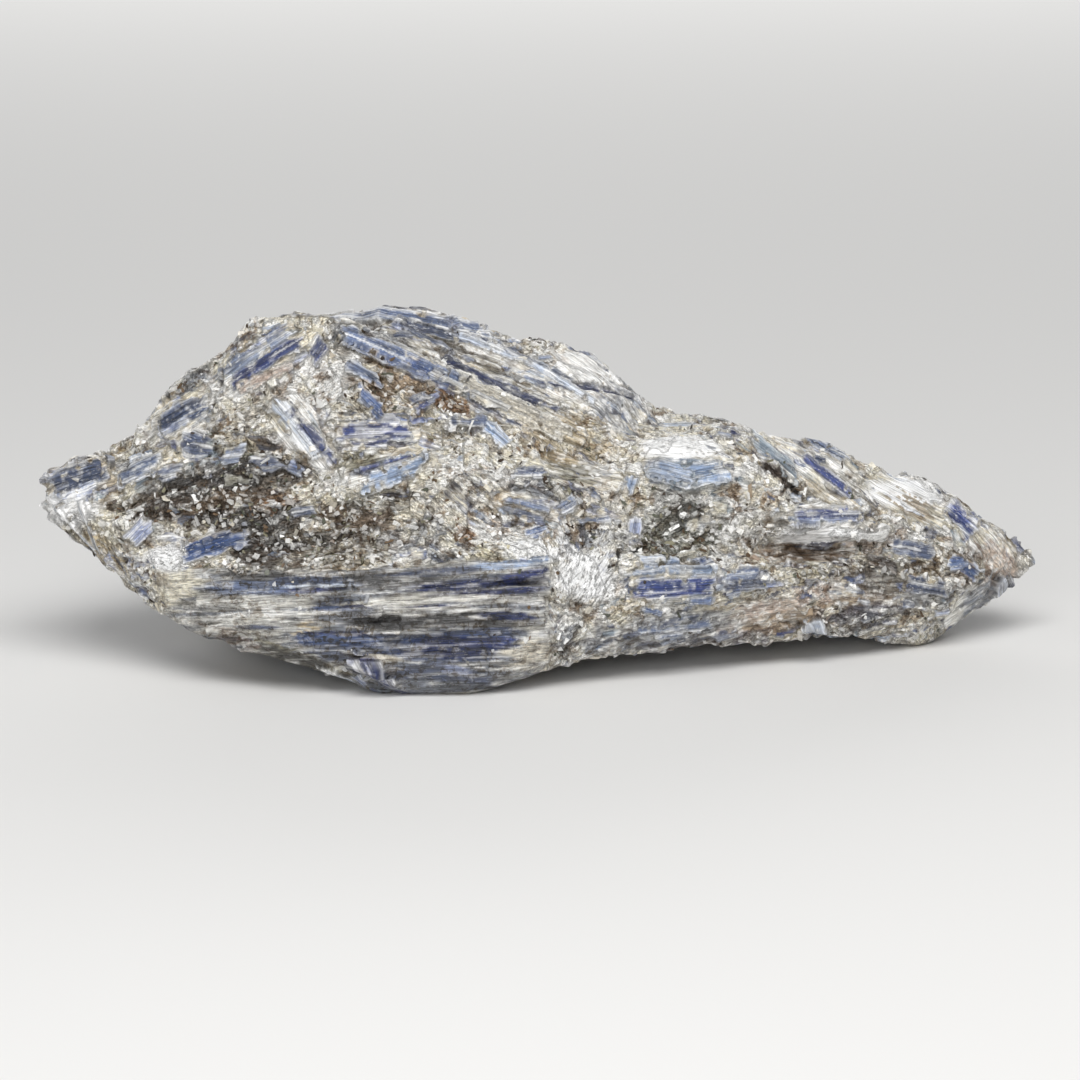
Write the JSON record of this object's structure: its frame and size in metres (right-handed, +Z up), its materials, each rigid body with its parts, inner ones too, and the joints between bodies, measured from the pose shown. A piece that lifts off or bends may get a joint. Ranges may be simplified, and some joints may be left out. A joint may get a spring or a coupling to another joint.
{
  "type": "kyanite specimen",
  "caption": "Rough kyanite blade cluster: long blue laths grown in quartz, feldspar and mica, lying on its side as a display or scenery stone.",
  "frame": {"origin": "middle of the bounding box in X and Y, on the surface that the stone rests on", "axes": "+X towards the narrow end along the longest side, +Y to the back, away from the face with the blades, +Z up"},
  "size_m": [0.2, 0.0788, 0.0714],
  "materials": {
    "kyanite_rock": "rough broken rock of blue bladed crystals, white quartz and mica"
  },
  "bodies": {
    "root": {"kyanite_cluster": "kyanite_rock"}
  },
  "joints": []
}
